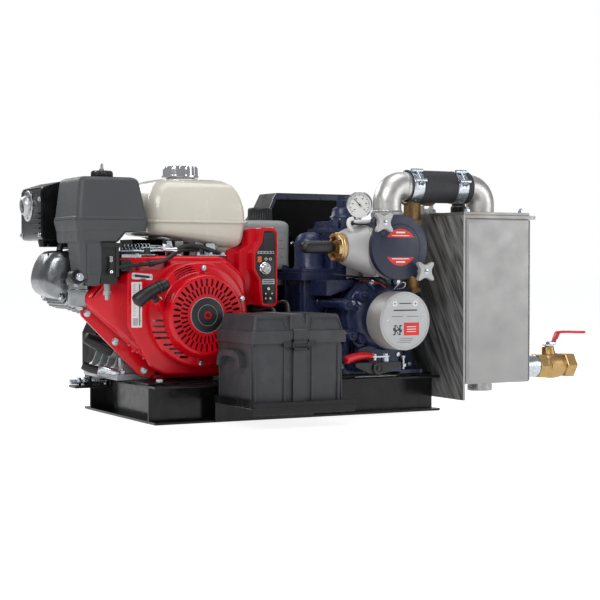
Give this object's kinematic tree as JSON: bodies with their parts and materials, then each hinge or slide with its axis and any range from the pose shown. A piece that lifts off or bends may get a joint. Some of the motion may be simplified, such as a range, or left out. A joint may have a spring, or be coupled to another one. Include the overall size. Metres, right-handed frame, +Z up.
{
  "type": "vacuum pump set",
  "caption": "Skid-mounted petrol engine driving a vane vacuum pump by belt, with inlet filter, vacuum gauge, moisture trap, drain valve, oil tank and battery.",
  "frame": {"origin": "middle of the skid's underside, on the centre cross-member", "axes": "+X along the skid towards the pump and trap, -Y towards the operator's side with the recoil starter, +Z up"},
  "size_m": [1.2088, 0.62, 0.519],
  "materials": {
    "black_paint": "gloss black paint over steel",
    "red_paint": "gloss red paint",
    "navy_paint": "satin navy enamel over cast iron",
    "cream_paint": "gloss cream paint",
    "cast_aluminium": "as-cast and machined aluminium",
    "stainless": "brushed stainless sheet and pipe",
    "steel": "machined steel",
    "chrome": "bright plating",
    "brass": "forged and turned brass",
    "grey_plastic": "moulded dark grey plastic",
    "black_plastic": "moulded black plastic",
    "tank_plastic": "translucent grey blow-moulded plastic",
    "rubber": "black rubber",
    "red_grip": "dipped red vinyl over plated steel",
    "filter_paper": "pleated filter paper"
  },
  "bodies": {
    "skid": {"front_rail": "black_paint", "rear_rail": "black_paint", "left_cross_member": "black_paint", "centre_cross_member": "black_paint", "deck_plate": "black_paint", "battery_tray": "black_paint", "belt_guard": "black_paint", "muffler": "black_paint", "starter_motor": "black_paint", "fan_shroud": "red_paint", "recoil_housing": "red_paint", "control_box": "red_paint", "pump_body": "navy_paint", "pump_end_cover": "navy_paint", "pump_manifold": "navy_paint", "filter_lid": "navy_paint", "fuel_tank": "cream_paint", "crankcase": "cast_aluminium", "cylinder_head": "cast_aluminium", "rocker_cover": "cast_aluminium", "carburettor": "cast_aluminium", "oil_canister": "cast_aluminium", "filter_housing": "cast_aluminium", "trap_box": "stainless", "trap_lid": "stainless", "inlet_elbow": "stainless", "gauge_case": "chrome", "brass_tee": "brass", "relief_valve_body": "brass", "ball_valve_body": "brass", "air_cleaner_base": "grey_plastic", "battery_case": "grey_plastic", "battery_lid": "grey_plastic", "battery": "black_plastic", "oil_tank": "tank_plastic", "suction_hose": "rubber", "v_belt": "rubber", "filter_element": "filter_paper"},
    "crank": {"crankshaft": "steel", "flywheel": "cast_aluminium", "engine_pulley": "cast_aluminium"},
    "pump_rotor": {"rotor": "steel", "pump_pulley": "cast_aluminium"},
    "recoil_grip": {"recoil_grip": "black_plastic"},
    "recoil_reel": {"recoil_reel": "black_plastic"},
    "fuel_cap": {"fuel_cap": "chrome"},
    "air_cleaner_cover": {"air_cleaner_cover": "grey_plastic"},
    "wing_knob": {"wing_knob": "black_plastic"},
    "choke_lever": {"choke_lever": "black_plastic"},
    "throttle_lever": {"throttle_lever": "steel"},
    "key_switch": {"key_switch": "chrome"},
    "oil_dipstick": {"oil_dipstick": "black_plastic"},
    "oil_tank_cap": {"oil_tank_cap": "black_plastic"},
    "upper_star_knob": {"upper_star_knob": "cast_aluminium"},
    "lower_star_knob": {"lower_star_knob": "cast_aluminium"},
    "gauge_needle": {"gauge_needle": "black_plastic"},
    "relief_knob": {"relief_knob": "black_plastic"},
    "four_way_lever": {"four_way_lever": "red_grip"},
    "drain_valve": {"ball_valve_lever": "red_grip", "valve_ball": "chrome"}
  },
  "joints": [
    {"name": "crank_spin", "type": "hinge", "parent": "skid", "child": "crank", "pos_m": [-0.215, 0, 0.2133], "axis": [0, 1, 0], "continuous": true},
    {"name": "pump_spin", "type": "hinge", "parent": "skid", "child": "pump_rotor", "pos_m": [0.21, 0, 0.197], "axis": [0, 1, 0], "continuous": true},
    {"name": "recoil_pull", "type": "slide", "parent": "skid", "child": "recoil_grip", "axis": [-0.6194, -0.5795, 0.5295], "range_m": [0, 0.6], "stiffness_N_per_m": 20},
    {"name": "recoil_reel_turn", "type": "hinge", "parent": "skid", "child": "recoil_reel", "pos_m": [-0.215, -0.176, 0.2133], "axis": [0, 1, 0], "range_deg": [0, 640]},
    {"name": "fuel_cap_turn", "type": "hinge", "parent": "skid", "child": "fuel_cap", "pos_m": [-0.196, -0.016, 0.492], "axis": [0, 0, 1], "range_deg": [0, 90]},
    {"name": "air_cleaner_lift", "type": "slide", "parent": "skid", "child": "air_cleaner_cover", "axis": [0, 0, 1], "range_m": [0, 0.12]},
    {"name": "wing_knob_turn", "type": "hinge", "parent": "air_cleaner_cover", "child": "wing_knob", "pos_m": [-0.395, -0.083, 0.4866], "axis": [0, 0, 1], "continuous": true},
    {"name": "choke_turn", "type": "hinge", "parent": "skid", "child": "choke_lever", "pos_m": [-0.404, -0.1505, 0.3], "axis": [0, 1, 0], "range_deg": [0, 60]},
    {"name": "throttle_turn", "type": "hinge", "parent": "skid", "child": "throttle_lever", "pos_m": [-0.33, -0.1, 0.3323], "axis": [0, 0, 1], "range_deg": [0, 45]},
    {"name": "key_turn", "type": "hinge", "parent": "skid", "child": "key_switch", "pos_m": [-0.056, -0.1303, 0.306], "axis": [0, 1, 0], "range_deg": [0, 70]},
    {"name": "dipstick_turn", "type": "hinge", "parent": "skid", "child": "oil_dipstick", "pos_m": [-0.3447, 0, 0.14075], "axis": [-0.9182, 0, 0.3961], "range_deg": [0, 360]},
    {"name": "oil_tank_cap_turn", "type": "hinge", "parent": "skid", "child": "oil_tank_cap", "pos_m": [0.046, 0.098, 0.412], "axis": [0, 0, 1], "range_deg": [0, 360]},
    {"name": "upper_star_knob_turn", "type": "hinge", "parent": "skid", "child": "upper_star_knob", "pos_m": [0.14201, -0.2623, 0.39999], "axis": [0, 1, 0], "continuous": true},
    {"name": "lower_star_knob_turn", "type": "hinge", "parent": "skid", "child": "lower_star_knob", "pos_m": [0.24199, -0.2623, 0.30001], "axis": [0, 1, 0], "continuous": true},
    {"name": "gauge_needle_turn", "type": "hinge", "parent": "skid", "child": "gauge_needle", "pos_m": [0.12036, -0.21594, 0.438], "axis": [0.4067, 0.9135, 0], "range_deg": [-92, 178]},
    {"name": "relief_adjust", "type": "hinge", "parent": "skid", "child": "relief_knob", "pos_m": [0.0694, -0.195, 0.35], "axis": [1, 0, 0], "range_deg": [-360, 360]},
    {"name": "four_way_turn", "type": "hinge", "parent": "skid", "child": "four_way_lever", "pos_m": [0.19, -0.205, 0.11], "axis": [0, 0, 1], "range_deg": [0, 90]},
    {"name": "drain_valve_turn", "type": "hinge", "parent": "skid", "child": "drain_valve", "pos_m": [0.596, -0.235, 0.091], "axis": [0, 0, -1], "range_deg": [0, 90]}
  ],
  "couplings": [
    {"joint": "pump_spin", "follows": "crank_spin", "ratio": 0.4029},
    {"joint": "recoil_reel_turn", "follows": "recoil_pull", "rad_per_m": 18.5}
  ]
}
